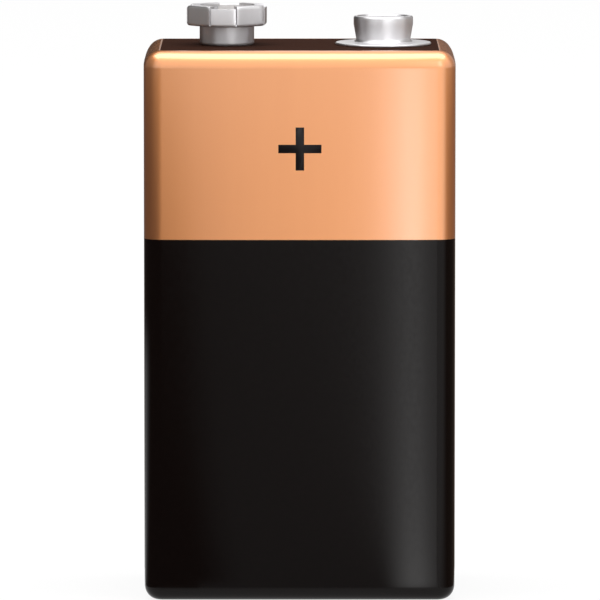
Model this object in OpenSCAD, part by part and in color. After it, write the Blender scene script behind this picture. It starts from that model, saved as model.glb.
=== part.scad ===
// Nine volt battery of the flat six-cell kind, standing upright.
// +Z is up and the front faces -Y. The origin is the centre of the underside.
// The stack inside is worked out from the two ends of the jacket, and the cells
// take their length and their diameter from the space that is left to them.

/* [Jacket] */
// Width over the jacket
body_w = 25.6; // [25.2:0.1:26.5]
// Depth over the jacket
body_d = 16.9; // [16.4:0.1:17.5]
// Height of the jacket from the underside to the rolled top edge
body_h = 45.2; // [44.4:0.1:46.4]
// Radius of the four upright corners
corner_r = 1.6; // [1.55:0.05:2.2]
// Radius of the rolled edge round the top
top_roll_r = 1.4; // [1:0.05:1.5]
// Radius of the rolled edge round the underside
base_roll_r = 1.2; // [0.8:0.05:1.25]
// Width of the flat lip that the battery stands on
base_lip = 0.3; // [0.1:0.05:0.35]
// Thickness of the steel sheet
sheet_t = 0.25; // [0.2:0.01:0.28]
// Height at which the copper field of the print meets the black one
band_z = 29.8; // [10:0.1:40]
// Gap of the upright butt seam at the back
seam_gap = 0.08; // [0.05:0.01:0.15]

/* [End plates] */
// Thickness of the top plate between its face and its hollow
top_plate_t = 1.2; // [1:0.1:1.4]
// Thickness of the skirt under the top plate
skirt_t = 1; // [0.6:0.05:1.2]
// Thickness of the base plate over the lip of the jacket
base_plate_t = 1; // [0.7:0.1:1.2]
// How far the base plate lies above the surface that the battery stands on
base_recess = 0.12; // [0.05:0.01:0.2]

/* [Cells] */
// Play of a cell in its share of the space inside the liner
cell_play = 0.05; // [0.03:0.01:0.2]
// Height between the cells and the top plate, for the straps and leads
head_room = 3.4; // [2.6:0.1:4]
// Diameter of the positive nub of a cell
nub_d = 3.6; // [3.2:0.1:4]
// Height of the positive nub of a cell
nub_h = 0.7; // [0.5:0.05:1]
// Diameter of the raised middle of a cell's negative cap
cap_d = 4.4; // [4:0.1:5]
// How far the negative cap stands over the crimped end of the can
cap_h = 0.18; // [0.14:0.01:0.3]
// Depth of the crimp groove in a can
groove_t = 0.25; // [0.15:0.05:0.4]
// Height of the crimp groove
groove_h = 0.9; // [0.6:0.1:1.2]
// Distance of the crimp groove from the negative end
groove_in = 2.4; // [2:0.1:3]
// Radius of the can's rounded ends
can_edge_r = 0.5; // [0.3:0.05:0.8]

/* [Wiring and insulation] */
// Width of the nickel straps and leads
strap_w = 3; // [2.4:0.1:3.4]
// Thickness of the nickel straps and leads
strap_t = 0.12; // [0.1:0.01:0.15]
// Inner radius of the folds in the two leads
lead_bend_r = 0.3; // [0.2:0.05:0.4]
// Clearance between the fold of a lead and the rolled end of its eyelet
lead_clear = 0.05; // [0.03:0.01:0.2]
// Thickness of the pads over and under the cells
pad_t = 0.4; // [0.3:0.05:0.5]
// Thickness of the pierced cards on the ends of the cells
card_t = 0.1; // [0.08:0.01:0.12]
// Thickness of the paper liner round the cells
liner_t = 0.12; // [0.08:0.01:0.12]

/* [Terminals] */
// Distance between the middles of the two terminals
terminal_pitch = 12.9; // [12.45:0.05:12.95]
// How far the pair of terminals sits to the right of the middle
pair_shift = 0.45; // [0:0.05:0.6]
// Thickness of the drawn steel of both terminals
terminal_t = 0.22; // [0.18:0.01:0.28]

/* [Crown socket] */
// Height over the top plate
crown_h = 3.3; // [3:0.05:3.4]
// Width of the petal ring across two plain petals
crown_flats = 6.5; // [6.4:0.05:6.8]
// Width of the petal ring across two lipped petals, which are the broader ones
lip_flats = 6.18; // [6:0.02:6.4]
// Diameter of the round corners of the petal ring
crown_corners = 6.85; // [6.8:0.05:7.1]
// Diameter of the foot
crown_foot_d = 4.5; // [4.4:0.1:4.8]
// Height of the foot below the petal ring
crown_foot_h = 1.62; // [1.4:0.02:1.7]
// Radius of the foot's rounded lower edge
crown_foot_r = 0.26; // [0.1:0.02:0.3]
// Diameter of the mouth between the turned-in lips
crown_mouth_d = 4.7; // [4.6:0.05:5]
// Radius of the ring's rounded edges
crown_edge_r = 0.26; // [0.2:0.02:0.36]
// Width of the slits between the petals
slit_w = 0.14; // [0.1:0.01:0.3]
// How much shorter the four plain petals are
petal_drop = 0.2; // [0.1:0.02:0.3]
// Turn of the petals about the upright axis
crown_turn = -5; // [-22:1:22]

/* [Snap stud] */
// Height over the top plate
stud_h = 2.4; // [2.2:0.05:2.6]
// Diameter of the straight band under the rim
stud_d = 4.9; // [4.8:0.05:5.2]
// Height of that straight band
stud_band_h = 0.5; // [0.3:0.05:0.6]
// Diameter of the narrow neck
neck_d = 4.5; // [4.4:0.05:4.7]
// Diameter of the flange
flange_d = 7.9; // [7.6:0.1:8.6]
// Radius of the hollow flare from the flange up to the neck
flare_r = 0.36; // [0.25:0.01:0.4]
// Radius of the rim
rim_r = 0.2; // [0.15:0.01:0.25]
// Depth of the dish in the top
dish_h = 0.15; // [0.08:0.01:0.2]
// Height at which its eyelet spreads inside it
stud_hook_h = 1.1; // [0.9:0.05:1.3]

/* [Eyelets] */
// Diameter of an eyelet's barrel
barrel_d = 2.2; // [2:0.1:2.4]
// Diameter of the hole through an eyelet
eyelet_bore_d = 1.5; // [1.3:0.1:1.6]
// Diameter of an eyelet's rolled ends
eyelet_head_d = 3.4; // [3.2:0.1:3.6]
// Thickness of an eyelet's rolled ends
eyelet_head_t = 0.25; // [0.2:0.01:0.3]

/* [Hidden] */
$fn = 72;
PETALS = 8;
// Clearance between pieces that slide together on the bench
fit_gap = 0.03;
// Reach of a cutting tool past the face that it cuts
over = 1;
petal_step = 360 / PETALS;
front_angle = -90;

// Levels of the stack under the cells, upwards from the underside
base_top_z = sheet_t + base_plate_t;
bottom_strap_z = base_top_z + pad_t;
cell_z = bottom_strap_z + strap_t;

// Levels over the cells, downwards from the top plate
plate_under_z = body_h - top_plate_t;
cell_top_z = plate_under_z - head_room;
top_pad_z = cell_top_z + strap_t;
skirt_z = top_pad_z + pad_t;

// Plan sizes inside the jacket
plate_side = sheet_t + fit_gap;
liner_in = plate_side + liner_t;
pad_side = liner_in + fit_gap;

// The cells stand in three columns and two rows. In the order of the current
// from the negative terminal they run left front, left back, middle back,
// middle front, right front and right back, and every other one is turned over.
column_pitch = (body_w - 2 * liner_in) / 3;
row_pitch = (body_d - 2 * liner_in) / 2;
cell_d = min(column_pitch, row_pitch) - cell_play;
cell_len = cell_top_z - cell_z;
groove_d = cell_d - 2 * groove_t;
CELL_COLUMN = [-1, -1, 0, 0, 1, 1];
CELL_ROW = [-1, 1, 1, -1, -1, 1];
function cell_at(n) = [CELL_COLUMN[n - 1] * column_pitch, CELL_ROW[n - 1] * row_pitch / 2];
function negative_up(n) = n % 2 == 1;
// The seam of the jacket lies behind the hollow between two columns
seam_x = -column_pitch / 2;

crown_at = [pair_shift - terminal_pitch / 2, 0];
stud_at = [pair_shift + terminal_pitch / 2, 0];

COPPER = "#D08C5C";
BLACK = "#1A1514";
BOARD = "#3A2620";
STEEL = "#C9C7C8";
NICKEL = "#B9B6AE";
CAN = "#A9ABAD";
CARD = "#E9E4D6";
KRAFT = "#B08E62";
FOAM = "#8C8F93";
BRASS = "#C2A45A";

// Outline of a rectangle with round corners, true arcs, inset from the jacket
module plan(inset) {
    r = corner_r - inset;
    w = body_w - 2 * corner_r;
    d = body_d - 2 * corner_r;
    square([w + 2 * r, d], center = true);
    square([w, d + 2 * r], center = true);
    for (x = [-w / 2, w / 2], y = [-d / 2, d / 2])
        translate([x, y]) circle(r = r);
}

// A wall of uniform section that follows the outline of the jacket. The section
// is drawn with its X measured outwards from the centres of the corners.
module around() {
    w = body_w - 2 * corner_r;
    d = body_d - 2 * corner_r;
    corners = [[w / 2, d / 2], [-w / 2, d / 2], [-w / 2, -d / 2], [w / 2, -d / 2]];
    sides = [d, w, d, w];
    for (i = [0:3]) {
        translate(corners[i]) rotate([0, 0, 90 * i]) rotate_extrude(angle = 90) children();
        translate(corners[i]) rotate([90, 0, 90 * i]) linear_extrude(sides[i]) children();
    }
}

// The solid middle that an around() wall encloses
module core(z, h) {
    translate([0, 0, z + h / 2])
        cube([body_w - 2 * corner_r, body_d - 2 * corner_r, h], center = true);
}

// Quarter disc with its corner at the origin, opening towards sx and sz
module quarter(r, sx, sz) {
    intersection() {
        circle(r = r);
        translate([sx > 0 ? 0 : -r, sz > 0 ? 0 : -r]) square(r);
    }
}

// Section of everything that lies within the jacket at a depth under its skin:
// the straight side and the two rolled edges
module within(depth) {
    top_cx = corner_r - top_roll_r;
    top_cz = body_h - top_roll_r;
    base_cx = corner_r - base_roll_r;
    translate([0, base_roll_r]) square([corner_r - depth, top_cz - base_roll_r]);
    translate([0, top_cz]) square([top_cx, top_roll_r - depth]);
    translate([top_cx, top_cz]) quarter(top_roll_r - depth, 1, 1);
    translate([0, depth]) square([base_cx, base_roll_r - depth]);
    translate([base_cx, base_roll_r]) quarter(base_roll_r - depth, 1, -1);
}

// Section of the sheet: open over the top plate and over the base plate
module sheet_section() {
    top_open = corner_r - top_roll_r;
    base_open = corner_r - base_roll_r - base_lip;
    difference() {
        within(0);
        within(sheet_t);
        translate([-over, body_h - top_roll_r]) square([top_open + over, top_roll_r + over]);
        translate([-over, -over]) square([base_open + over, base_roll_r + over]);
    }
}

module jacket_sheet() {
    difference() {
        around() sheet_section();
        translate([seam_x - seam_gap / 2, 0, -over]) cube([seam_gap, body_d, body_h + 2 * over]);
    }
}

module jacket_zone(low, high) {
    intersection() {
        jacket_sheet();
        translate([-body_w, -body_d, low]) cube([2 * body_w, 2 * body_d, high - low]);
    }
}

// Printed steel jacket, rolled over both end plates, with a butt seam at the back
module jacket() {
    color(COPPER) jacket_zone(band_z, body_h);
    color(BLACK) jacket_zone(0, band_z);
}

// Section of the top plate's edge: it fills the rolled edge from inside and
// stands level with it in the opening
module top_edge_section() {
    intersection() {
        within(plate_side);
        translate([0, plate_under_z]) square([corner_r, top_plate_t]);
    }
    translate([0, plate_under_z]) square([corner_r - top_roll_r - fit_gap, top_plate_t]);
}

module skirt_section() {
    translate([corner_r - plate_side - skirt_t, skirt_z])
        square([skirt_t, plate_under_z - skirt_z]);
}

// Moulded top plate with the skirt that presses the stack together
module top_plate() {
    color(BOARD) difference() {
        union() {
            around() top_edge_section();
            core(plate_under_z, top_plate_t);
            around() skirt_section();
        }
        for (at = [crown_at, stud_at])
            translate([at[0], at[1], plate_under_z - over])
                cylinder(d = barrel_d + 2 * fit_gap, h = top_plate_t + 2 * over);
    }
}

module base_edge_section() {
    base_open = corner_r - base_roll_r - base_lip;
    intersection() {
        within(sheet_t);
        translate([0, sheet_t]) square([corner_r - plate_side, base_plate_t]);
    }
    translate([0, base_recess]) square([base_open - fit_gap, base_plate_t]);
}

// Moulded base plate, a little above the lip that the battery stands on
module base_plate() {
    color(BLACK) union() {
        around() base_edge_section();
        core(base_recess, base_top_z - base_recess);
    }
}

// Paper liner that keeps the cans off the jacket
module liner() {
    color(KRAFT) translate([0, 0, base_top_z]) linear_extrude(skirt_z - base_top_z)
        difference() {
            plan(plate_side);
            plan(liner_in);
        }
}

module bottom_pad() {
    color(FOAM) translate([0, 0, base_top_z]) linear_extrude(pad_t) plan(pad_side);
}

// The pad over the straps, slotted where the two leads come up
module top_pad() {
    color(FOAM) difference() {
        translate([0, 0, top_pad_z]) linear_extrude(pad_t) plan(pad_side);
        lead_slot(cell_at(1), crown_at);
        lead_slot(cell_at(6), stud_at);
    }
}

// Card with a hole over the contact face of every cell
module pierced_card(z) {
    color(CARD) translate([0, 0, z]) linear_extrude(card_t) difference() {
        plan(pad_side);
        for (n = [1:6]) translate(cell_at(n)) circle(d = cap_d + 4 * fit_gap);
    }
}

// Section of a sealed cell with its negative cap up, from its nub at Z 0
module cell_section() {
    can_top = cell_len - cap_h;
    groove_z = cell_len - groove_in;
    difference() {
        union() {
            square([nub_d / 2, nub_h + can_edge_r]);
            translate([0, nub_h]) square([cell_d / 2 - can_edge_r, can_top - nub_h]);
            translate([0, nub_h + can_edge_r]) square([cell_d / 2, can_top - nub_h - 2 * can_edge_r]);
            translate([cell_d / 2 - can_edge_r, nub_h + can_edge_r]) circle(r = can_edge_r);
            translate([cell_d / 2 - can_edge_r, can_top - can_edge_r]) circle(r = can_edge_r);
            square([cap_d / 2, cell_len]);
        }
        translate([groove_d / 2, groove_z]) square([cell_d, groove_h]);
    }
}

// Sealed alkaline cell: the numbers follow the current
module cell(n) {
    turn = negative_up(n) ? 0 : 180;
    color(CAN) translate([cell_at(n)[0], cell_at(n)[1], cell_z + cell_len / 2])
        rotate([turn, 0, 0]) translate([0, 0, -cell_len / 2]) rotate_extrude() cell_section();
}

// Nickel strap with round ends, spot-welded from cell a to cell b
module strap(a, b, z) {
    p = cell_at(a);
    q = cell_at(b);
    color(NICKEL) translate([p[0], p[1], z])
        rotate([0, 0, atan2(q[1] - p[1], q[0] - p[0])]) linear_extrude(strap_t) {
            translate([0, -strap_w / 2]) square([norm(q - p), strap_w]);
            circle(d = strap_w);
            translate([norm(q - p), 0]) circle(d = strap_w);
        }
}

// Frame of a lead: X runs from its weld on a cell towards its terminal
module along_lead(from, to) {
    translate([from[0], from[1], 0]) rotate([0, 0, atan2(to[1] - from[1], to[0] - from[0])]) children();
}

// Distance from the weld of a lead to its upright part, which rises close to
// the rolled end of the eyelet
lead_bend_w = lead_bend_r + strap_t;
function riser_at(from, to) = norm(to - from) - eyelet_head_d / 2 - lead_clear - lead_bend_w;

// Slot through the top pad round the upright part of a lead
module lead_slot(from, to) {
    slot = [4 * lead_bend_r, strap_w + 4 * fit_gap, pad_t + 2 * over];
    along_lead(from, to)
        translate([riser_at(from, to) - slot[0] / 2, -slot[1] / 2, top_pad_z - over]) cube(slot);
}

// Quarter ring of a fold, opening towards sx and sz
module fold(sx, sz) {
    difference() {
        quarter(lead_bend_w, sx, sz);
        circle(r = lead_bend_r);
    }
}

// Side view of a lead: flat on the cell, straight up, then flat under the plate
module lead_section(riser, len) {
    low = cell_top_z;
    high = plate_under_z;
    bend = lead_bend_w;
    back = riser - lead_bend_r;
    translate([0, low]) square([back, strap_t]);
    translate([back, low + bend]) fold(1, -1);
    translate([riser, low + bend]) square([strap_t, high - low - 2 * bend]);
    translate([riser + bend, high - bend]) fold(-1, 1);
    translate([riser + bend, high - strap_t]) square([len - riser - bend, strap_t]);
}

// Nickel lead from the contact face of a cell to the eyelet of a terminal
module lead(from, to) {
    len = norm(to - from);
    color(NICKEL) along_lead(from, to) difference() {
        union() {
            translate([0, strap_w / 2, 0]) rotate([90, 0, 0]) linear_extrude(strap_w)
                lead_section(riser_at(from, to), len);
            translate([0, 0, cell_top_z]) cylinder(d = strap_w, h = strap_t);
            translate([len, 0, plate_under_z - strap_t]) cylinder(d = strap_w, h = strap_t);
        }
        translate([len, 0, plate_under_z - over]) cylinder(d = barrel_d + 2 * fit_gap, h = 2 * over);
    }
}

// Section of the hollow barrel and rolled lower end of an eyelet
module barrel_section(top) {
    low = plate_under_z - strap_t - eyelet_head_t;
    difference() {
        union() {
            translate([0, low]) square([barrel_d / 2, top - low]);
            translate([0, low]) square([eyelet_head_d / 2 - eyelet_head_t / 2, eyelet_head_t]);
            translate([eyelet_head_d / 2 - eyelet_head_t / 2, low + eyelet_head_t / 2])
                circle(d = eyelet_head_t);
        }
        translate([0, low - over]) square([eyelet_bore_d / 2, top - low + 2 * over]);
    }
}

// Eyelet that clamps the crown's floor, the top plate and the negative lead
module negative_eyelet() {
    floor_z = body_h + terminal_t;
    color(BRASS) translate([crown_at[0], crown_at[1], 0]) rotate_extrude() {
        barrel_section(floor_z + eyelet_head_t);
        translate([barrel_d / 2, floor_z])
            square([(eyelet_head_d - barrel_d - eyelet_head_t) / 2, eyelet_head_t]);
        translate([(eyelet_head_d - eyelet_head_t) / 2, floor_z + eyelet_head_t / 2])
            circle(d = eyelet_head_t);
    }
}

// Eyelet inside the hollow stud, spread above the narrow neck that traps it
module positive_eyelet() {
    hook_z = body_h + stud_hook_h;
    hook_r = stud_radius(hook_z - eyelet_head_t) - terminal_t - fit_gap / 2;
    color(BRASS) translate([stud_at[0], stud_at[1], 0]) rotate_extrude() {
        barrel_section(hook_z);
        translate([eyelet_bore_d / 2, hook_z - eyelet_head_t])
            square([hook_r - eyelet_bore_d / 2, eyelet_head_t]);
    }
}

// Section of the crown before its petals are cut: round foot, then a wider ring
module crown_section() {
    ring_r = crown_corners / 2;
    ring_z = body_h + crown_foot_h;
    top = body_h + crown_h;
    foot_r = crown_foot_d / 2;
    e = crown_edge_r;
    difference() {
        union() {
            translate([0, body_h]) square([foot_r - crown_foot_r, crown_foot_h + terminal_t]);
            translate([0, body_h + crown_foot_r]) square([foot_r, crown_foot_h]);
            translate([foot_r - crown_foot_r, body_h + crown_foot_r]) circle(r = crown_foot_r);
            translate([0, ring_z]) square([ring_r - e, crown_h - crown_foot_h]);
            translate([0, ring_z + e]) square([ring_r, crown_h - crown_foot_h - 2 * e]);
            translate([ring_r - e, ring_z + e]) circle(r = e);
            translate([ring_r - e, top - e]) circle(r = e);
        }
        translate([0, body_h + terminal_t]) square([foot_r - terminal_t, crown_h]);
        translate([0, ring_z + terminal_t]) square([crown_mouth_d / 2, crown_h]);
        translate([0, body_h - over]) square([barrel_d / 2 + fit_gap, 2 * over]);
    }
}

// Direction of a petal's middle. The even petals are the plain ones.
function petal_at(i) = front_angle + crown_turn + i * petal_step;

// Half the angle of a plain petal: its slits lie on the corners of the ring
plain_half = atan2(lip_flats * sqrt(2) - crown_flats, crown_flats);

// Prism with eight flats and rounded corners, inset from the outside of the ring
module crown_prism(inset, h) {
    plain_w = crown_flats - 2 * inset;
    lip_w = lip_flats - 2 * inset;
    intersection() {
        rotate([0, 0, petal_at(0)]) linear_extrude(h) square(plain_w, center = true);
        rotate([0, 0, petal_at(1)]) linear_extrude(h) square(lip_w, center = true);
        cylinder(d = crown_corners - 2 * inset, h = h);
    }
}

// Space over a plain petal: a sector of a round disc
module over_petal(i, h) {
    rotate([0, 0, petal_at(i) - plain_half])
        rotate_extrude(angle = 2 * plain_half) square([crown_corners, h]);
}

// Female terminal with eight sprung petals, every other one with a turned-in lip
module crown_socket() {
    inside_z = body_h + crown_foot_h + terminal_t;
    inside_h = crown_h - crown_foot_h - 2 * terminal_t;
    plain_z = body_h + crown_h - petal_drop;
    ring_r = crown_corners / 2 + over;
    color(STEEL) translate([crown_at[0], crown_at[1], 0]) difference() {
        intersection() {
            rotate_extrude() crown_section();
            translate([0, 0, body_h]) crown_prism(0, crown_h);
        }
        translate([0, 0, inside_z]) crown_prism(terminal_t, inside_h);
        for (i = [0:2:PETALS - 1], side = [-1, 1])
            rotate([0, 0, petal_at(i) + side * plain_half])
                translate([0, -slit_w / 2, inside_z - terminal_t / 2]) cube([ring_r, slit_w, crown_h]);
        for (i = [0:2:PETALS - 1]) {
            translate([0, 0, plain_z]) over_petal(i, crown_h);
            intersection() {
                translate([0, 0, inside_z]) crown_prism(terminal_t, crown_h);
                translate([0, 0, inside_z]) over_petal(i, crown_h);
            }
        }
    }
}

// Top of the hollow flare, and bottom of the straight band, of the stud
flare_z = body_h + terminal_t + flare_r;
band_z_low = body_h + stud_h - rim_r - stud_band_h;

// Outer radius of the stud's tapered wall at a height
function stud_radius(z) =
    neck_d / 2 + (stud_d - neck_d) / 2 * (z - flare_z) / (band_z_low - flare_z);

// Outer section of the stud: flange, hollow flare, taper, straight band and rim
module stud_outside() {
    top = body_h + stud_h;
    foot_r = neck_d / 2 + flare_r;
    translate([0, body_h]) square([flange_d / 2 - terminal_t / 2, terminal_t]);
    translate([flange_d / 2 - terminal_t / 2, body_h + terminal_t / 2]) circle(d = terminal_t);
    difference() {
        translate([0, body_h]) square([foot_r, terminal_t + flare_r]);
        translate([foot_r, flare_z]) circle(r = flare_r);
    }
    polygon([
        [0, flare_z], [neck_d / 2, flare_z], [stud_d / 2, band_z_low],
        [stud_d / 2, top - rim_r], [0, top - rim_r]
    ]);
    translate([0, top - rim_r]) square([stud_d / 2 - rim_r, rim_r]);
    translate([stud_d / 2 - rim_r, top - rim_r]) circle(r = rim_r);
}

// The hollow under it, one sheet thickness away
module stud_inside() {
    roof_z = body_h + stud_h - dish_h - terminal_t;
    foot_r = neck_d / 2 + flare_r;
    difference() {
        translate([0, body_h - over]) square([foot_r, terminal_t + flare_r + over]);
        translate([foot_r, flare_z]) circle(r = flare_r + terminal_t);
    }
    polygon([
        [0, flare_z], [neck_d / 2 - terminal_t, flare_z], [stud_d / 2 - terminal_t, band_z_low],
        [stud_d / 2 - terminal_t, roof_z], [0, roof_z]
    ]);
}

module stud_section() {
    difference() {
        stud_outside();
        stud_inside();
        translate([0, body_h + stud_h - dish_h]) square([stud_d / 2 - 2 * rim_r, dish_h + over]);
    }
}

// Male terminal, drawn from one blank with its wide flange
module snap_stud() {
    color(STEEL) translate([stud_at[0], stud_at[1], 0]) rotate_extrude() stud_section();
}

jacket();
liner();
base_plate();
bottom_pad();
pierced_card(cell_z);  // bottom_card
strap(1, 2, bottom_strap_z);  // bottom_strap_1
strap(3, 4, bottom_strap_z);  // bottom_strap_2
strap(5, 6, bottom_strap_z);  // bottom_strap_3
cell(1);  // cell_1
cell(2);  // cell_2
cell(3);  // cell_3
cell(4);  // cell_4
cell(5);  // cell_5
cell(6);  // cell_6
pierced_card(cell_top_z - card_t);  // top_card
strap(2, 3, cell_top_z);  // top_strap_1
strap(4, 5, cell_top_z);  // top_strap_2
lead(cell_at(1), crown_at);  // negative_lead
lead(cell_at(6), stud_at);  // positive_lead
top_pad();
top_plate();
negative_eyelet();
positive_eyelet();
crown_socket();
snap_stud();
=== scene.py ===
# %% [markdown]
# # A nine volt battery for the studio
#
# The battery is already built: its steel jacket, its six cells and its two
# terminals come in as a fixed frame, at their real size, in metres. This
# notebook dresses it. It swaps the three pieces that catch the eye for finer
# meshes, gives every piece a finish worked out by nodes, prints the plus sign,
# and sets up the floor, the lights and the camera.

# %% Load the frame
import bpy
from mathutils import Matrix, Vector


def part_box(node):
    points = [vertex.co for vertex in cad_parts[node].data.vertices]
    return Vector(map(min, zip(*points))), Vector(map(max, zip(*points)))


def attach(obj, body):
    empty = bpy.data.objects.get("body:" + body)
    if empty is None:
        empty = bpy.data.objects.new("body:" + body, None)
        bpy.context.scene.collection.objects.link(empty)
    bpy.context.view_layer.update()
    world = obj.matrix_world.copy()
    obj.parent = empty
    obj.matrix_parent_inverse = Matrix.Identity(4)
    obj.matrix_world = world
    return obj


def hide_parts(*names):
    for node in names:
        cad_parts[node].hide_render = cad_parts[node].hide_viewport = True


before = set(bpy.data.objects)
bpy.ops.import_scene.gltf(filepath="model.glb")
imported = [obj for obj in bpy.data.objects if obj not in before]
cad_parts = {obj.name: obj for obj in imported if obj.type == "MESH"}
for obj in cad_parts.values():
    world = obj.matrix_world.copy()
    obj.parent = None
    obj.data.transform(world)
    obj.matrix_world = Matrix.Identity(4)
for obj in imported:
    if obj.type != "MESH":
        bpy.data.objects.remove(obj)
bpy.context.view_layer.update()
print("frame loaded:", len(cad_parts), "pieces")

# %% [markdown]
# ## Tools and units
#
# Lengths are written in millimetres and become metres at once. The frame says
# how large the jacket is and where the terminals stand, so none of that is
# typed in again.

# %% Tools and units
import math

import bmesh
import bpy
from mathutils import Matrix, Vector

MM = 0.001


def mm(*values):
    """Millimetres to metres, as one number or as a vector."""
    scaled = [v * MM for v in values]
    return scaled[0] if len(scaled) == 1 else Vector(scaled)


TINY = mm(0.001)
jacket_low, jacket_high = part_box("jacket")
crown_low, crown_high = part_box("crown_socket")
stud_low, stud_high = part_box("snap_stud")
body_w, body_d, body_h = jacket_high - jacket_low
top_z = jacket_high.z
crown_mid = (crown_low + crown_high) / 2
stud_mid = (stud_low + stud_high) / 2
print("jacket in mm:", [round(v / MM, 2) for v in (body_w, body_d, body_h)])

# %% [markdown]
# ## The camera
#
# The picture looks straight at the front from a little above, through a long
# lens: the sides of the jacket close in by under one percent from top to
# bottom. A camera at 634 mm with a view of 4.5 degrees gives just that, so no
# shift is needed.

# %% Place the camera
CAMERA_DISTANCE = mm(634.3)
CAMERA_PITCH = math.radians(5.92)
CAMERA_AIM = mm(0.03, 0, 24.0)
SENSOR_WIDTH = 36
FOCAL_PIXELS = 7661
FRAME_PIXELS = 600
CLIP_START, CLIP_END = 0.01, 20

camera = bpy.data.objects.new("camera", bpy.data.cameras.new("camera"))
bpy.context.scene.collection.objects.link(camera)
camera.data.sensor_width = SENSOR_WIDTH
camera.data.lens = SENSOR_WIDTH * FOCAL_PIXELS / FRAME_PIXELS
camera.data.clip_start, camera.data.clip_end = CLIP_START, CLIP_END
towards_viewer = Vector((0, -math.cos(CAMERA_PITCH), math.sin(CAMERA_PITCH)))
camera.location = CAMERA_AIM + towards_viewer * CAMERA_DISTANCE
camera.rotation_euler = (math.pi / 2 - CAMERA_PITCH, 0, 0)
bpy.context.scene.camera = camera
print("camera at", [round(v, 3) for v in camera.location])

# %% [markdown]
# ## Helpers for pieces
#
# Every piece is a bmesh that becomes an object at the origin, with its place
# in its mesh. It rides on the battery's only body, names the finish that it
# takes, and hides the piece of the frame it stands for, if there is one. The
# terminals are spun from a section, which is a chain of straight lines and arcs.

# %% Helpers for pieces
MERGE_REACH = mm(0.0005)
NORMAL_WEIGHT = 90


def arc(cx, cz, r, start, end, steps):
    """Points of an arc in the XZ plane, angles in degrees from +X."""
    angles = [math.radians(start + (end - start) * i / steps) for i in range(steps + 1)]
    return [Vector((cx + r * math.cos(a), 0, cz + r * math.sin(a))) for a in angles]


def chain(bm, points):
    """Vertices joined in a row, for a spin to sweep round."""
    verts = [bm.verts.new(p) for p in points]
    edges = [bm.edges.new(pair) for pair in zip(verts, verts[1:])]
    return verts + edges


def merge(bm):
    """Closes the seams and poles, and turns every face outwards."""
    bmesh.ops.remove_doubles(bm, verts=bm.verts[:], dist=MERGE_REACH)
    bmesh.ops.recalc_face_normals(bm, faces=bm.faces[:])


def finish_piece(bm, name, materials, replaced=None):
    """Turns a bmesh into a piece of the battery."""
    mesh = bpy.data.meshes.new(name)
    bm.to_mesh(mesh)
    bm.free()
    for polygon in mesh.polygons:
        polygon.use_smooth = True
    piece = bpy.data.objects.new(name, mesh)
    bpy.context.scene.collection.objects.link(piece)
    for material in materials:
        mesh.materials.append(material)
    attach(piece, "root")
    if replaced:
        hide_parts(replaced)
    print(name, "has", len(mesh.polygons), "faces")
    return piece


def thicken(piece, thickness):
    """Gives a sheet its thickness, inwards."""
    sheet = piece.modifiers.new("sheet", "SOLIDIFY")
    sheet.thickness = thickness
    sheet.offset = -1
    sheet.use_even_offset = True


def round_edges(piece, width, segments, sharpest):
    """Rounds every edge that turns by more than an angle in degrees."""
    bevel = piece.modifiers.new("rounded edges", "BEVEL")
    bevel.width = width
    bevel.segments = segments
    bevel.limit_method = "ANGLE"
    bevel.angle_limit = math.radians(sharpest)
    bevel.use_clamp_overlap = True


def weight_normals(piece):
    """Keeps large faces flat in the light, next to small rounded ones."""
    weighted = piece.modifiers.new("even shading", "WEIGHTED_NORMAL")
    weighted.keep_sharp = True
    weighted.weight = NORMAL_WEIGHT


# %% [markdown]
# ## Patterns
#
# A finish is a Principled shader whose colour, roughness and normal are fed by
# a pattern read from the piece's own coordinates. There are two patterns, each
# a node group: a fine grain for lacquer, board and plastic, and long upright
# lines for drawn and rolled metal.

# %% Two patterns
NOISE_LOW, NOISE_HIGH = 0.3, 0.7


def add(tree, kind, **settings):
    """A new node with some of its settings."""
    node = tree.nodes.new(kind)
    for key, value in settings.items():
        setattr(node, key, value)
    return node


def make_pattern(name, stretch, detail, roughness):
    """Noise as a height, and again as a level between a low and a high one."""
    tree = bpy.data.node_groups.new(name, "ShaderNodeTree")
    for label in ("Scale", "Low", "High"):
        tree.interface.new_socket(name=label, in_out="INPUT", socket_type="NodeSocketFloat")
    tree.interface.new_socket(name="Coordinates", in_out="INPUT", socket_type="NodeSocketVector")
    for label in ("Height", "Level"):
        tree.interface.new_socket(name=label, in_out="OUTPUT", socket_type="NodeSocketFloat")
    given, result = add(tree, "NodeGroupInput"), add(tree, "NodeGroupOutput")
    mapping = add(tree, "ShaderNodeMapping")
    mapping.inputs["Scale"].default_value = stretch
    noise = add(tree, "ShaderNodeTexNoise")
    noise.inputs["Detail"].default_value = detail
    noise.inputs["Roughness"].default_value = roughness
    ranged = add(tree, "ShaderNodeMapRange")
    ranged.inputs["From Min"].default_value = NOISE_LOW
    ranged.inputs["From Max"].default_value = NOISE_HIGH
    tree.links.new(given.outputs["Coordinates"], mapping.inputs["Vector"])
    tree.links.new(mapping.outputs["Vector"], noise.inputs["Vector"])
    tree.links.new(given.outputs["Scale"], noise.inputs["Scale"])
    tree.links.new(noise.outputs["Fac"], ranged.inputs["Value"])
    tree.links.new(given.outputs["Low"], ranged.inputs["To Min"])
    tree.links.new(given.outputs["High"], ranged.inputs["To Max"])
    tree.links.new(noise.outputs["Fac"], result.inputs["Height"])
    tree.links.new(ranged.outputs["Result"], result.inputs["Level"])
    return tree


grain = make_pattern("fine grain", stretch=(1, 1, 1), detail=3, roughness=0.55)
lines = make_pattern("drawing lines", stretch=(1, 1, 0.06), detail=5, roughness=0.65)
print("patterns:", grain.name, "and", lines.name)

# %% [markdown]
# ## A finish
#
# The pattern mixes two tones, sets the roughness between two values and lifts
# the normal a little. The terminals are turned as well: fine marks run round
# them, so their reflections are drawn out upwards.
# The direction of those marks is worked out from the piece's own coordinates.

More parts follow.
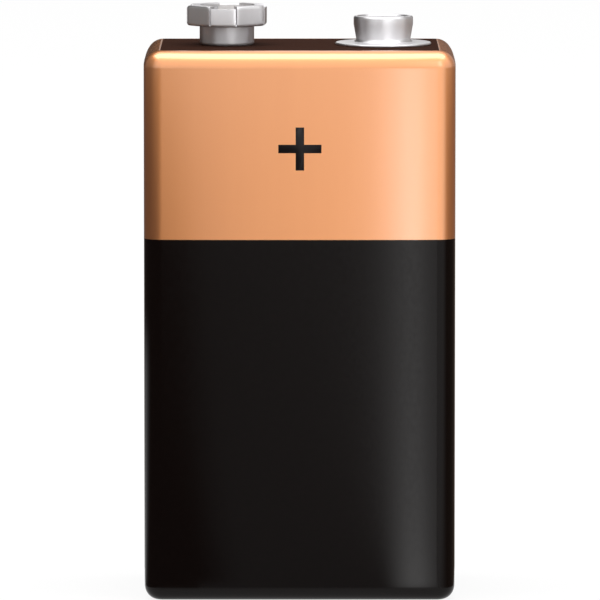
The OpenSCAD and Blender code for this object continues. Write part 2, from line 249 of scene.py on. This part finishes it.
# %% One finish from a pattern and two tones
BUMP_STRENGTH = 0.6


def tone(r, g, b):
    """A colour picked on a screen, as the shader wants it."""
    shares = [v / 255 for v in (r, g, b)]
    return tuple(((s + 0.055) / 1.055) ** 2.4 if s > 0.04 else s / 12.92 for s in shares) + (1,)


def make_finish(name, pattern, scale, light, dark, rough, metallic=0.0, bump=0.0, specular=0.5, coat=None):
    """A Principled finish. The coat, if there is one, is its roughness and its index."""
    material = bpy.data.materials.new(name)
    material.use_nodes = True
    tree = material.node_tree
    shader = tree.nodes["Principled BSDF"]
    place = add(tree, "ShaderNodeTexCoord")
    marks = add(tree, "ShaderNodeGroup", node_tree=pattern)
    marks.inputs["Scale"].default_value = scale
    marks.inputs["Low"].default_value, marks.inputs["High"].default_value = rough
    mix = add(tree, "ShaderNodeMix", data_type="RGBA")
    mix.inputs["A"].default_value = tone(*light)
    mix.inputs["B"].default_value = tone(*dark)
    tree.links.new(place.outputs["Object"], marks.inputs["Coordinates"])
    tree.links.new(marks.outputs["Height"], mix.inputs["Factor"])
    tree.links.new(mix.outputs["Result"], shader.inputs["Base Color"])
    tree.links.new(marks.outputs["Level"], shader.inputs["Roughness"])
    shader.inputs["Metallic"].default_value = metallic
    shader.inputs["Specular IOR Level"].default_value = specular
    if coat:
        shader.inputs["Coat Weight"].default_value = 1.0
        shader.inputs["Coat Roughness"].default_value, shader.inputs["Coat IOR"].default_value = coat
    if bump:
        lift = add(tree, "ShaderNodeBump")
        lift.inputs["Strength"].default_value = BUMP_STRENGTH
        lift.inputs["Distance"].default_value = bump
        tree.links.new(marks.outputs["Height"], lift.inputs["Height"])
        tree.links.new(lift.outputs["Normal"], shader.inputs["Normal"])
    return material


# %% Marks that run round an upright axis
TURNING_AMOUNT = 0.8
QUARTER_TURN = 0.25


def turned_steel(name, middle):
    """Steel with fine marks round an upright axis through a point."""
    material = make_finish(
        name, lines, scale=700, light=(245, 244, 246), dark=(238, 237, 239), rough=(0.4, 0.46),
        metallic=1.0, bump=mm(0.0006))
    tree = material.node_tree
    shader = tree.nodes["Principled BSDF"]
    place = add(tree, "ShaderNodeTexCoord")
    arm = add(tree, "ShaderNodeVectorMath", operation="SUBTRACT")
    arm.inputs[1].default_value = (middle.x, middle.y, 0)
    around = add(tree, "ShaderNodeVectorMath", operation="CROSS_PRODUCT")
    around.inputs[0].default_value = (0, 0, 1)
    unit = add(tree, "ShaderNodeVectorMath", operation="NORMALIZE")
    turned = add(
        tree, "ShaderNodeVectorTransform", vector_type="VECTOR",
        convert_from="OBJECT", convert_to="WORLD")
    tree.links.new(place.outputs["Object"], arm.inputs[0])
    tree.links.new(arm.outputs["Vector"], around.inputs[1])
    tree.links.new(around.outputs["Vector"], unit.inputs[0])
    tree.links.new(unit.outputs["Vector"], turned.inputs["Vector"])
    tree.links.new(turned.outputs["Vector"], shader.inputs["Tangent"])
    shader.inputs["Anisotropic"].default_value = TURNING_AMOUNT
    shader.inputs["Anisotropic Rotation"].default_value = QUARTER_TURN
    return material


# %% [markdown]
# ## The finishes
#
# The upper field of the jacket is a copper lacquer over bright steel: a soft
# metal under a hard clear coat that mirrors the studio. The lower field is a
# black lacquer that shows only a faint sheen. The top plate is a dark brown
# moulding with a dull grain, and the terminals are drawn steel plated with
# nickel. The inner pieces have plain finishes of their own.

# %% Make the finishes
copper_lacquer = make_finish(
    "copper_lacquer", lines, scale=260, light=(247, 166, 104), dark=(241, 160, 98),
    rough=(0.4, 0.44), metallic=1.0, bump=mm(0.0006), coat=(0.13, 1.9))
black_lacquer = make_finish(
    "black_lacquer", grain, scale=2600, light=(9, 4, 3), dark=(11, 6, 5),
    rough=(0.13, 0.16), bump=mm(0.0002), specular=0.17)
plate_board = make_finish(
    "plate_board", grain, scale=5200, light=(56, 34, 25), dark=(47, 27, 20),
    rough=(0.8, 0.95), bump=mm(0.006), specular=0.02)
crown_steel = turned_steel("crown_steel", crown_mid)
stud_steel = turned_steel("stud_steel", stud_mid)
# The level faces of the terminals: the same steel without turning marks, made a little darker as painted
# shade under the overhead lamp.
shaded_level_steel = make_finish(
    "shaded_level_steel", grain, scale=2600, light=(230, 229, 231), dark=(222, 221, 223),
    rough=(0.46, 0.54), metallic=1.0, bump=mm(0.0006))
plus_ink = make_finish(
    "plus_ink", grain, scale=2600, light=(20, 17, 18), dark=(26, 22, 23),
    rough=(0.34, 0.42), bump=mm(0.0006), specular=0.15)
eyelet_metal = make_finish(
    "eyelet_metal", lines, scale=700, light=(205, 182, 120), dark=(188, 162, 100),
    rough=(0.22, 0.34), metallic=1.0, bump=mm(0.0008))
nickel_strip = make_finish(
    "nickel_strip", lines, scale=500, light=(200, 197, 188), dark=(182, 178, 168),
    rough=(0.26, 0.36), metallic=1.0, bump=mm(0.0008))
cell_steel = make_finish(
    "cell_steel", lines, scale=420, light=(190, 191, 193), dark=(170, 171, 174),
    rough=(0.24, 0.36), metallic=1.0, bump=mm(0.001))
kraft = make_finish(
    "kraft", grain, scale=1400, light=(186, 150, 104), dark=(166, 130, 86),
    rough=(0.75, 0.9), bump=mm(0.01), specular=0.3)
white_board = make_finish(
    "white_board", grain, scale=1800, light=(236, 231, 216), dark=(224, 218, 201),
    rough=(0.7, 0.85), bump=mm(0.006), specular=0.3)
grey_foam = make_finish(
    "grey_foam", grain, scale=2400, light=(96, 98, 102), dark=(70, 72, 76),
    rough=(0.8, 0.95), bump=mm(0.03), specular=0.3)
base_black = make_finish(
    "base_black", grain, scale=5200, light=(34, 30, 29), dark=(26, 22, 21),
    rough=(0.5, 0.68), bump=mm(0.006), specular=0.3)
print("finishes:", len(bpy.data.materials))

# %% [markdown]
# ## Dressing the frame
#
# Every piece of the frame takes one finish. Pieces that come in numbers, such
# as the cells, take it by how their name starts.

# %% Dress the pieces of the frame
FINISH_BY_START = {
    "jacket": copper_lacquer, "liner": kraft, "base_plate": base_black, "top_plate": plate_board,
    "bottom_pad": grey_foam, "top_pad": grey_foam,
    "bottom_card": white_board, "top_card": white_board,
    "crown_socket": crown_steel, "snap_stud": stud_steel, "cell": cell_steel,
    "bottom_strap": nickel_strip, "top_strap": nickel_strip,
    "negative_lead": nickel_strip, "positive_lead": nickel_strip,
    "negative_eyelet": eyelet_metal, "positive_eyelet": eyelet_metal,
}

for name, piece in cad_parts.items():
    finish = next(f for start, f in FINISH_BY_START.items() if name.startswith(start))
    piece.data.materials.clear()
    piece.data.materials.append(finish)
print("dressed:", ", ".join(sorted(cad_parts)))

# %% [markdown]
# ## The jacket
#
# The jacket is one sheet of steel, folded into a tube and rolled in over both
# end plates. A block with bevelled edges has the right outside: the upright
# edges first, then the two rims, whose bevel is nearly as wide as the corner's
# radius. Its two ends are opened, a flat lip is left underneath, and the
# thickness is added inwards. The faces are very slightly barrelled, as they are
# on the real thing, where the sheet is drawn round the cells. That is what
# makes the light slide over them.

# %% Sizes of the jacket
CORNER_R = mm(1.6)
TOP_ROLL_R = mm(1.4)
BASE_ROLL_R = mm(1.2)
BASE_LIP = mm(0.3)
SHEET_T = mm(0.25)
BAND_Z = mm(29.8)
COLUMN_PITCH = mm(8.267)
SEAM_X = -COLUMN_PITCH / 2
SEAM_GAP = mm(0.08)
FRONT_BARREL = mm(0.16)
SIDE_BARREL = mm(0.08)
BARREL_POWER = 4
ROUND_STEPS = 14
COLUMNS = 30
print("seam at", round(SEAM_X / MM, 2), "mm, edge of the copper at", round(BAND_Z / MM, 2), "mm")


# %% Shape the block
def bevel_round(bm, edges, radius):
    """Rounds some edges of the block."""
    bmesh.ops.bevel(
        bm, geom=edges, offset=radius, offset_type="OFFSET", affect="EDGES", segments=ROUND_STEPS,
        profile=0.5, material=-1, clamp_overlap=False)


def jacket_block():
    """A block with round upright edges and two rolled rims."""
    bm = bmesh.new()
    size = Matrix.Diagonal((body_w, body_d, body_h, 1))
    bmesh.ops.create_cube(bm, size=1, matrix=Matrix.Translation((0, 0, body_h / 2)) @ size)
    upright = [e for e in bm.edges if abs(e.verts[0].co.z - e.verts[1].co.z) > body_h / 2]
    bevel_round(bm, upright, CORNER_R)
    for z, roll in ((body_h, TOP_ROLL_R), (0, BASE_ROLL_R)):
        rim = [e for e in bm.edges if all(abs(v.co.z - z) < TINY for v in e.verts)]
        bevel_round(bm, rim, roll)
    return bm


def open_ends(bm):
    """Takes the top face away, and the bottom face inside its lip."""
    def end_faces(z):
        return [f for f in bm.faces if all(abs(v.co.z - z) < TINY for v in f.verts)]
    bmesh.ops.inset_region(bm, faces=end_faces(0), thickness=BASE_LIP)
    centre = [f for f in end_faces(0) if f.calc_area() > body_w * body_d / 2]
    bmesh.ops.delete(bm, geom=centre + end_faces(body_h), context="FACES")


# %% Barrel, seam and fields
def cut(bm, x=None, y=None, z=None):
    """Cuts the whole piece with an upright or level plane."""
    everything = bm.verts[:] + bm.edges[:] + bm.faces[:]
    point = (x or 0, y or 0, z or 0)
    normal = (x is not None, y is not None, z is not None)
    bmesh.ops.bisect_plane(bm, geom=everything, plane_co=point, plane_no=normal)


def barrel(bm):
    """Lets the broad and the narrow faces curve in towards the corners."""
    half = Vector((body_w / 2 - CORNER_R, body_d / 2 - CORNER_R))
    for i in range(1, COLUMNS):
        cut(bm, x=half.x * (2 * i / COLUMNS - 1))
        cut(bm, y=half.y * (2 * i / COLUMNS - 1))
    for v in bm.verts:
        for along, across, depth in ((0, 1, FRONT_BARREL), (1, 0, SIDE_BARREL)):
            share = min(abs(v.co[along]) / half[along], 1)
            reach = min(max((abs(v.co[across]) - half[across]) / CORNER_R, 0), 1)
            v.co[across] -= math.copysign(depth * share ** BARREL_POWER * reach, v.co[across])


def open_seam(bm):
    """The butt seam runs up the back, between two columns of cells."""
    for side in (-1, 1):
        cut(bm, x=SEAM_X + side * SEAM_GAP / 2)
    slot = [f for f in bm.faces
            if abs(f.calc_center_median().x - SEAM_X) < SEAM_GAP / 2 and f.calc_center_median().y > 0]
    bmesh.ops.delete(bm, geom=slot, context="FACES")


def build_jacket():
    bm = jacket_block()
    open_ends(bm)
    barrel(bm)
    open_seam(bm)
    cut(bm, z=BAND_Z)
    for f in bm.faces:
        f.material_index = 1 if f.calc_center_median().z < BAND_Z else 0
    piece = finish_piece(bm, "jacket_shell", [copper_lacquer, black_lacquer], "jacket")
    thicken(piece, SHEET_T)
    weight_normals(piece)


build_jacket()

# %% [markdown]
# ## The plus sign
#
# The sign is a film of ink on the copper, so it is two crossed bars a hundredth
# of a millimetre thick, a quarter of it sunk in the lacquer. The barrelled
# front is flat there to within the film's own thickness. A grid of three by
# three faces without its corners gives the outline.

# %% Print the plus sign
PLUS_AT = mm(0.02, 0, 37.25)
PLUS_REACH = mm(1.76)
PLUS_BAR = mm(0.345)
INK_T = mm(0.012)
INK_SUNK = INK_T / 4


def build_plus():
    bm = bmesh.new()
    bmesh.ops.create_grid(bm, x_segments=3, y_segments=3, size=1)
    bmesh.ops.rotate(bm, verts=bm.verts[:], matrix=Matrix.Rotation(math.pi / 2, 3, "X"))
    for v in bm.verts:
        for axis in (0, 2):
            reach = PLUS_REACH if abs(v.co[axis]) > 0.5 else PLUS_BAR
            v.co[axis] = math.copysign(reach, v.co[axis])
    corners = [f for f in bm.faces
               if min(abs(f.calc_center_median().x), abs(f.calc_center_median().z)) > PLUS_BAR]
    bmesh.ops.delete(bm, geom=corners, context="FACES")
    bmesh.ops.translate(bm, verts=bm.verts[:], vec=(PLUS_AT.x, jacket_low.y + INK_SUNK, PLUS_AT.z))
    film = bmesh.ops.extrude_face_region(bm, geom=bm.faces[:])
    raised = [v for v in film["geom"] if isinstance(v, bmesh.types.BMVert)]
    bmesh.ops.translate(bm, verts=raised, vec=(0, -INK_T, 0))
    merge(bm)
    finish_piece(bm, "plus_sign", [plus_ink])


build_plus()

# %% [markdown]
# ## The crown socket
#
# The negative terminal is drawn from one disc: a foot, a shoulder, and a ring
# of eight petals. Four plain ones are narrow and stand a little lower, and the
# four broad ones between them have their top edge turned in. One section, spun
# petal by petal, gives the whole skin with a narrow column at each slit. The
# ring is then pressed from round to eight-sided, the slits and the plain
# petals' tops are taken out, and the sheet gets its thickness inwards.

# %% Sizes of the crown
CROWN_FLATS = mm(6.5)
LIP_FLATS = mm(6.18)
RING_R = mm(6.85) / 2
CROWN_FOOT_R = mm(2.25)
CROWN_FOOT_EDGE = mm(0.26)
CROWN_FOOT_H = mm(1.62)
CROWN_MOUTH_R = mm(2.35)
CROWN_EDGE = mm(0.26)
CROWN_NECK_EDGE = mm(0.1)
TERMINAL_T = mm(0.22)
EDGE_ROUNDING = mm(0.035)
SLIT_W = mm(0.14)
PETAL_DROP = mm(0.2)
CROWN_TURN = math.radians(-5)
EYELET_HOLE_R = mm(1.13)
PETALS = 8
PETAL_STEP = 2 * math.pi / PETALS
PLAIN_HALF = math.atan((LIP_FLATS * math.sqrt(2) - CROWN_FLATS) / CROWN_FLATS)
PETAL_COLUMNS = 12
PRESS_SHARPNESS = 60
LEVEL_ENOUGH = 0.8
crown_h = crown_high.z - top_z
print("crown stands", round(crown_h / MM, 2), "mm over the jacket")


# %% Section of the crown
def crown_section():
    """The outer skin in the XZ plane, from the floor's hole to the lip's edge."""
    edge_x, edge_z = RING_R - CROWN_EDGE, crown_h - CROWN_EDGE
    points = [Vector((EYELET_HOLE_R, 0, 0))]
    points += arc(CROWN_FOOT_R - CROWN_FOOT_EDGE, CROWN_FOOT_EDGE, CROWN_FOOT_EDGE, -90, 0, steps=6)
    points += arc(
        CROWN_FOOT_R + CROWN_NECK_EDGE, CROWN_FOOT_H - CROWN_NECK_EDGE, CROWN_NECK_EDGE, 180, 90, steps=4)
    points += arc(edge_x, CROWN_FOOT_H + CROWN_EDGE, CROWN_EDGE, -90, 0, steps=7)
    plain_top = math.degrees(math.asin(1 - PETAL_DROP / CROWN_EDGE))
    for start, end, steps in ((0, plain_top, 1), (plain_top, 90, 6)):
        points += arc(edge_x, edge_z, CROWN_EDGE, start, end, steps)
    points += [Vector((CROWN_MOUTH_R, 0, crown_h))]
    return points


# %% Press the crown's ring
def flat_share(angle):
    """Distance of the eight-sided outline from its middle, as a share of the ring's radius."""
    shares = [1]
    for first, flats in ((0, CROWN_FLATS), (PETAL_STEP, LIP_FLATS)):
        turn = (angle - CROWN_TURN + math.pi / 2 - first) % (2 * PETAL_STEP)
        nearest = min(turn, 2 * PETAL_STEP - turn)
        shares.append(flats / 2 / math.cos(nearest) / RING_R)
    return sum(share ** -PRESS_SHARPNESS for share in shares) ** (-1 / PRESS_SHARPNESS)


def press_ring(bm):
    """Pushes the ring in to its eight flats, and leaves the foot and the mouth round."""
    for v in bm.verts:
        inner = CROWN_MOUTH_R if v.co.z > crown_h / 2 else CROWN_FOOT_R + CROWN_NECK_EDGE
        share = (v.co.xy.length - inner) / (RING_R - inner)
        if v.co.z > CROWN_FOOT_H - 10 * TINY and share > 0:
            wanted = flat_share(math.atan2(v.co.y, v.co.x))
            v.co.xy = v.co.xy * (1 + share * (wanted - 1))


def mark_level_faces(bm):
    """Flat rims and flanges carry no turning marks, so they take the second finish, whose darker tone is
    painted shade on the faces that look up at the lamp.
    """
    for f in bm.faces:
        f.material_index = 1 if abs(f.normal.z) > LEVEL_ENOUGH else 0


# %% Spin and cut the crown
def spin_petals(bm):
    """The skin all round. Gives back the faces of each slit and of each petal, a plain one first."""
    slit_angle = SLIT_W / (CROWN_FLATS / 2)
    widths = [2 * PLAIN_HALF - slit_angle, 2 * (PETAL_STEP - PLAIN_HALF) - slit_angle]
    start = -math.pi / 2 + CROWN_TURN - PLAIN_HALF - slit_angle / 2
    around = Matrix.Rotation(start, 3, "Z")
    column = chain(bm, [around @ p for p in crown_section()])
    slits, petals = [], []
    for i in range(PETALS):
        for angle, steps, store in ((slit_angle, 1, slits), (widths[i % 2], PETAL_COLUMNS, petals)):
            before = set(bm.faces)
            spun = bmesh.ops.spin(
                bm, geom=column, cent=(0, 0, 0), axis=(0, 0, 1), angle=angle, steps=steps,
                use_duplicate=False)
            column = spun["geom_last"]
            store.append([f for f in bm.faces if f not in before])
    return slits, petals


def build_crown():
    bm = bmesh.new()
    slits, petals = spin_petals(bm)
    plain_petals = petals[::2]
    doomed = []
    for strips, floor_z in ((slits, CROWN_FOOT_H + TERMINAL_T / 2), (plain_petals, crown_h - PETAL_DROP)):
        doomed += [f for strip in strips for f in strip if f.calc_center_median().z > floor_z]
    bmesh.ops.delete(bm, geom=doomed, context="FACES")
    merge(bm)
    press_ring(bm)
    bmesh.ops.translate(bm, verts=bm.verts[:], vec=(crown_mid.x, crown_mid.y, top_z))
    mark_level_faces(bm)
    piece = finish_piece(
        bm, "crown_terminal", [crown_steel, shaded_level_steel], "crown_socket")
    thicken(piece, TERMINAL_T)
    round_edges(piece, EDGE_ROUNDING, segments=2, sharpest=35)
    weight_normals(piece)


build_crown()

# %% [markdown]
# ## The snap stud
#
# The positive terminal is a cup drawn upside down from a disc that stays as its
# wide flange. Its section has a hollow flare, a neck that widens upwards, a
# round rim and a shallow dish, and the same shape again on the inside, one
# sheet thickness away. Spinning the section once gives the whole piece.

# %% Spin the stud
STUD_R = mm(2.45)
STUD_BAND_H = mm(0.5)
NECK_R = mm(2.25)
FLANGE_R = mm(3.95)
FLARE_R = mm(0.36)
RIM_R = mm(0.2)
DISH_H = mm(0.15)
SPIN_STEPS = 96
stud_h = stud_high.z - top_z


def stud_section():
    """Outside from the dish to the flange's edge, then inside up to the roof."""
    dish_r = STUD_R - 2 * RIM_R
    dish_z = stud_h - DISH_H
    flare_z = TERMINAL_T + FLARE_R
    band_z = stud_h - RIM_R - STUD_BAND_H
    roof_z = dish_z - TERMINAL_T
    half_t = TERMINAL_T / 2
    points = [Vector((0, 0, dish_z)), Vector((dish_r - DISH_H, 0, dish_z))]
    points += arc(dish_r - DISH_H / 2, dish_z + DISH_H / 2, DISH_H / 2, -90, 0, steps=3)
    points += arc(STUD_R - RIM_R, stud_h - RIM_R, RIM_R, 150, 0, steps=10)
    points += [Vector((STUD_R, 0, band_z))]
    points += arc(NECK_R + FLARE_R, flare_z, FLARE_R, 180, 270, steps=8)
    points += arc(FLANGE_R - half_t, half_t, half_t, 90, -90, steps=8)
    points += arc(NECK_R + FLARE_R, flare_z, FLARE_R + TERMINAL_T, 270, 180, steps=6)
    points += [Vector((STUD_R - TERMINAL_T, 0, band_z)), Vector((STUD_R - TERMINAL_T, 0, roof_z))]
    points += [Vector((0, 0, roof_z))]
    return points


def build_stud():
    bm = bmesh.new()
    column = chain(bm, stud_section())
    bmesh.ops.spin(
        bm, geom=column, cent=(0, 0, 0), axis=(0, 0, 1), angle=2 * math.pi, steps=SPIN_STEPS,
        use_merge=True, use_duplicate=False)
    merge(bm)
    bmesh.ops.translate(bm, verts=bm.verts[:], vec=(stud_mid.x, stud_mid.y, top_z))
    mark_level_faces(bm)
    piece = finish_piece(
        bm, "stud_terminal", [stud_steel, shaded_level_steel], "snap_stud")
    weight_normals(piece)


build_stud()

# %% [markdown]
# ## The studio
#
# A wide white floor lies under a large soft lamp, in an even white world. The
# floor and the world are plain white to the eye and to reflections, and less
# to matte surfaces, so the background stays white while the battery isn't
# washed out. The floor keeps the battery's shadow. It is clear from below.

# %% World
WORLD_FILL = 0.75


def seen_directly(tree):
    """One where the camera, a reflection or clear glass sees a surface, and nought elsewhere."""
    path = add(tree, "ShaderNodeLightPath")
    total = path.outputs["Is Camera Ray"]
    for ray in ("Is Glossy Ray", "Is Transmission Ray"):
        either = add(tree, "ShaderNodeMath", operation="MAXIMUM")
        tree.links.new(total, either.inputs[0])
        tree.links.new(path.outputs[ray], either.inputs[1])
        total = either.outputs["Value"]
    return total


def build_world():
    """White where it is seen, and a lower fill for the matte surfaces."""
    world = bpy.data.worlds.new("studio")
    world.use_nodes = True
    bpy.context.scene.world = world
    tree = world.node_tree
    background = tree.nodes["Background"]
    background.inputs["Color"].default_value = (1, 1, 1, 1)
    level = add(tree, "ShaderNodeMapRange")
    level.inputs["To Min"].default_value = WORLD_FILL
    level.inputs["To Max"].default_value = 1
    tree.links.new(seen_directly(tree), level.inputs["Value"])
    tree.links.new(level.outputs["Result"], background.inputs["Strength"])


build_world()
print("world fill:", WORLD_FILL)

# %% Floor
FLOOR_REACH = 6.0
FLOOR_GAP = mm(0.02)
FLOOR_GLOW = 0.88
FLOOR_WHITE = 0.95
FLOOR_SIDES = 96


def mix_shaders(tree, factor, first, second):
    """The first shader where the factor is nought, and the second where it is one."""
    blend = add(tree, "ShaderNodeMixShader")
    tree.links.new(factor, blend.inputs["Fac"])
    tree.links.new(first, blend.inputs[1])
    tree.links.new(second, blend.inputs[2])
    return blend.outputs["Shader"]


def stage_piece(bm, name, shader):
    """A piece of the studio: it has one shader and isn't part of the battery."""
    mesh = bpy.data.meshes.new(name)
    bm.to_mesh(mesh)
    bm.free()
    item = bpy.data.objects.new(name, mesh)
    bpy.context.scene.collection.objects.link(item)
    material = bpy.data.materials.new(name)
    material.use_nodes = True
    tree = material.node_tree
    tree.nodes.remove(tree.nodes["Principled BSDF"])
    tree.links.new(shader(tree), tree.nodes["Material Output"].inputs["Surface"])
    mesh.materials.append(material)
    return item


def floor_shader(tree):
    """Matte white, with a share of plain white wherever it is seen, and clear from below."""
    matte = add(tree, "ShaderNodeBsdfDiffuse")
    matte.inputs["Color"].default_value = (FLOOR_WHITE, FLOOR_WHITE, FLOOR_WHITE, 1)
    glow = add(tree, "ShaderNodeEmission")
    share = add(tree, "ShaderNodeMath", operation="MULTIPLY")
    share.inputs[1].default_value = FLOOR_GLOW
    tree.links.new(seen_directly(tree), share.inputs[0])
    white = mix_shaders(tree, share.outputs["Value"], matte.outputs["BSDF"], glow.outputs["Emission"])
    clear = add(tree, "ShaderNodeBsdfTransparent")
    side = add(tree, "ShaderNodeNewGeometry")
    return mix_shaders(tree, side.outputs["Backfacing"], white, clear.outputs["BSDF"])


def build_floor():
    bm = bmesh.new()
    place = Matrix.Translation((0, 0, -FLOOR_GAP))
    bmesh.ops.create_circle(bm, cap_ends=True, segments=FLOOR_SIDES, radius=FLOOR_REACH, matrix=place)
    stage_piece(bm, "floor", floor_shader)


build_floor()
print("floor reaches", FLOOR_REACH, "m")

# %% The lamp
LAMP_AT = (0, -0.08, 0.9)
LAMP_AIM = (0, -0.08, 0)
LAMP_SIZE = (1.4, 0.7)
LAMP_RADIANCE = 2.4


def soft_lamp(name, at, aim, size, radiance):
    """A rectangular lamp, given how bright its face looks."""
    light = bpy.data.lights.new(name, "AREA")
    light.shape = "RECTANGLE"
    light.size, light.size_y = size
    light.energy = radiance * math.pi * size[0] * size[1]
    lamp = bpy.data.objects.new(name, light)
    lamp.location = at
    lamp.rotation_euler = (Vector(aim) - Vector(at)).to_track_quat("-Z", "Y").to_euler()
    bpy.context.scene.collection.objects.link(lamp)


soft_lamp("overhead", LAMP_AT, LAMP_AIM, LAMP_SIZE, LAMP_RADIANCE)
print("lamps:", len(bpy.data.lights))

# %% [markdown]
# ## Cards that only reflections see
#
# What a smooth lacquer shows is what stands round it. Curved cards stand round
# the battery, and strips lie on the floor before it, which the upright front
# mirrors. The low pair of cards darkens both ends of the jacket's front, and
# the tall ones do the same for the terminals. A pale rim low on the left, the
# glow over the front and the bright strip on the floor give the highlights.
# Each card melts into what is behind it, so that no edge of it shows.

# %% How a card looks
CARD_COLUMNS = 32


def fade(tree, value, rise, fall):
    """Nought at both ends of nought to one, and one between the two soft ramps."""
    product = add(tree, "ShaderNodeMath", operation="MULTIPLY")
    for i, (end, full) in enumerate(((0, rise), (1, 1 - fall))):
        ramp = add(tree, "ShaderNodeMapRange", interpolation_type="SMOOTHSTEP")
        ramp.inputs["From Min"].default_value = end
        ramp.inputs["From Max"].default_value = full
        tree.links.new(value, ramp.inputs["Value"])
        tree.links.new(ramp.outputs["Result"], product.inputs[i])
    return product.outputs["Value"]


def card_shader(colour, soft_u, soft_v):
    """A plain glow that melts into what is behind the card along its four edges."""
    def shader(tree):
        place = add(tree, "ShaderNodeTexCoord")
        parts = add(tree, "ShaderNodeSeparateXYZ")
        tree.links.new(place.outputs["UV"], parts.inputs["Vector"])
        mask = add(tree, "ShaderNodeMath", operation="MULTIPLY")
        tree.links.new(fade(tree, parts.outputs["X"], *soft_u), mask.inputs[0])
        tree.links.new(fade(tree, parts.outputs["Y"], *soft_v), mask.inputs[1])
        glow = add(tree, "ShaderNodeEmission")
        glow.inputs["Color"].default_value = (*colour, 1)
        clear = add(tree, "ShaderNodeBsdfTransparent")
        return mix_shaders(
            tree, mask.outputs["Value"], clear.outputs["BSDF"], glow.outputs["Emission"])
    return shader


def card(name, place, colour, soft_u, soft_v):
    """A grid bent by place(u, v). It is hidden from everything but reflections."""
    bm = bmesh.new()
    bm.loops.layers.uv.new("UVMap")
    bmesh.ops.create_grid(bm, x_segments=CARD_COLUMNS, y_segments=1, size=0.5, calc_uvs=True)
    for v in bm.verts:
        v.co = place(v.co.x + 0.5, v.co.y + 0.5)
    piece = stage_piece(bm, name, card_shader(colour, soft_u, soft_v))
    piece.visible_camera = False
    piece.visible_diffuse = False
    piece.visible_shadow = False
    piece.visible_transmission = False


# %% Upright cards
def upright_card(name, span, low, high, colour, soft_ends, soft_rims):
    """A curved card round the battery. Its span runs in degrees from the front to the right,
    and low and high give the radius and the height of its two rims in millimetres."""
    def place(u, v):
        start, end = span
        turn = math.radians(start + (end - start) * u - 90)
        radius, z = [mm(a) + (mm(b) - mm(a)) * v for a, b in zip(low, high)]
        return Vector((radius * math.cos(turn), radius * math.sin(turn), z))
    card(name, place, colour, soft_ends, soft_rims)


NEAR_BACK = 168.5
LOW_RIMS = {"low": (14.5, -5), "high": (55, 46)}
TALL_RIMS = {"low": (56, 38), "high": (56, 110)}
upright_card(
    "low_left", span=(-12, -NEAR_BACK), **LOW_RIMS, colour=(0.1, 0.08, 0.075),
    soft_ends=(0.1, 0.02), soft_rims=(0.08, 0.12))
upright_card(
    "low_right", span=(42, NEAR_BACK), **LOW_RIMS, colour=(0.2, 0.15, 0.12),
    soft_ends=(0.15, 0.02), soft_rims=(0.08, 0.12))
upright_card(
    "rim_left", span=(-66, -126), low=(17, 0), high=(34.4, 22), colour=(0.85, 0.85, 0.85),
    soft_ends=(0.4, 0.4), soft_rims=(0.05, 0.3))
upright_card(
    "tall_left", span=(-40, -128), **TALL_RIMS, colour=(0.24, 0.23, 0.22),
    soft_ends=(0.3, 0.1), soft_rims=(0.08, 0.08))
upright_card(
    "dark_left", span=(-108, -NEAR_BACK), low=(54, 36), high=(54, 110), colour=(0.04, 0.037, 0.035),
    soft_ends=(0.3, 0.02), soft_rims=(0.08, 0.08))
upright_card(
    "tall_right", span=(84, NEAR_BACK), **TALL_RIMS, colour=(0.42, 0.4, 0.39),
    soft_ends=(0.15, 0.02), soft_rims=(0.08, 0.08))
upright_card(
    "dark_right", span=(146, NEAR_BACK), low=(52, 30), high=(52, 75), colour=(0.1, 0.085, 0.08),
    soft_ends=(0.3, 0.03), soft_rims=(0.1, 0.1))
upright_card(
    "grey_back", span=(110, 250), low=(300, -100), high=(300, 180), colour=(0.34, 0.31, 0.29),
    soft_ends=(0.1, 0.1), soft_rims=(0.1, 0.2))
upright_card(
    "front_glow", span=(3, 42), low=(300, 70), high=(260, 300), colour=(2.6, 2.6, 2.6),
    soft_ends=(0.5, 0.5), soft_rims=(0.2, 0.2))


# %% Strips on the floor
def floor_strip(name, left, right, reach, lift, colour, soft_sides, soft_ends):
    """A strip on the floor from the battery's front, which opens like a fan. Each side has
    a start in millimetres and a direction in degrees."""
    def place(u, v):
        x, turn = [a + (b - a) * u for a, b in zip(left, right)]
        away = reach * v
        return Vector((mm(x) + away * math.tan(math.radians(turn)), jacket_low.y - away, lift))
    card(name, place, colour, soft_sides, soft_ends)


floor_strip(
    "grey_floor", left=(-14, -20), right=(13, 10), reach=0.55, lift=mm(0.3),
    colour=(0.42, 0.42, 0.42), soft_sides=(0.1, 0.1), soft_ends=(0.01, 0.1))
floor_strip(
    "left_shade", left=(-14, -22), right=(-7.9, -3.2), reach=0.55, lift=mm(0.4),
    colour=(0.16, 0.13, 0.12), soft_sides=(0.1, 0.1), soft_ends=(0.01, 0.1))
floor_strip(
    "bright_strip", left=(6.8, 1.2), right=(12.4, 7.4), reach=0.8, lift=mm(0.5),
    colour=(4.4, 4.4, 4.4), soft_sides=(0.5, 0.5), soft_ends=(0.01, 0.05))

# %% [markdown]
# ## The picture
#
# The picture keeps its colours as they are worked out.

# %% Picture settings
view = bpy.context.scene.view_settings
view.view_transform = "Standard"
print("view transform:", view.view_transform)
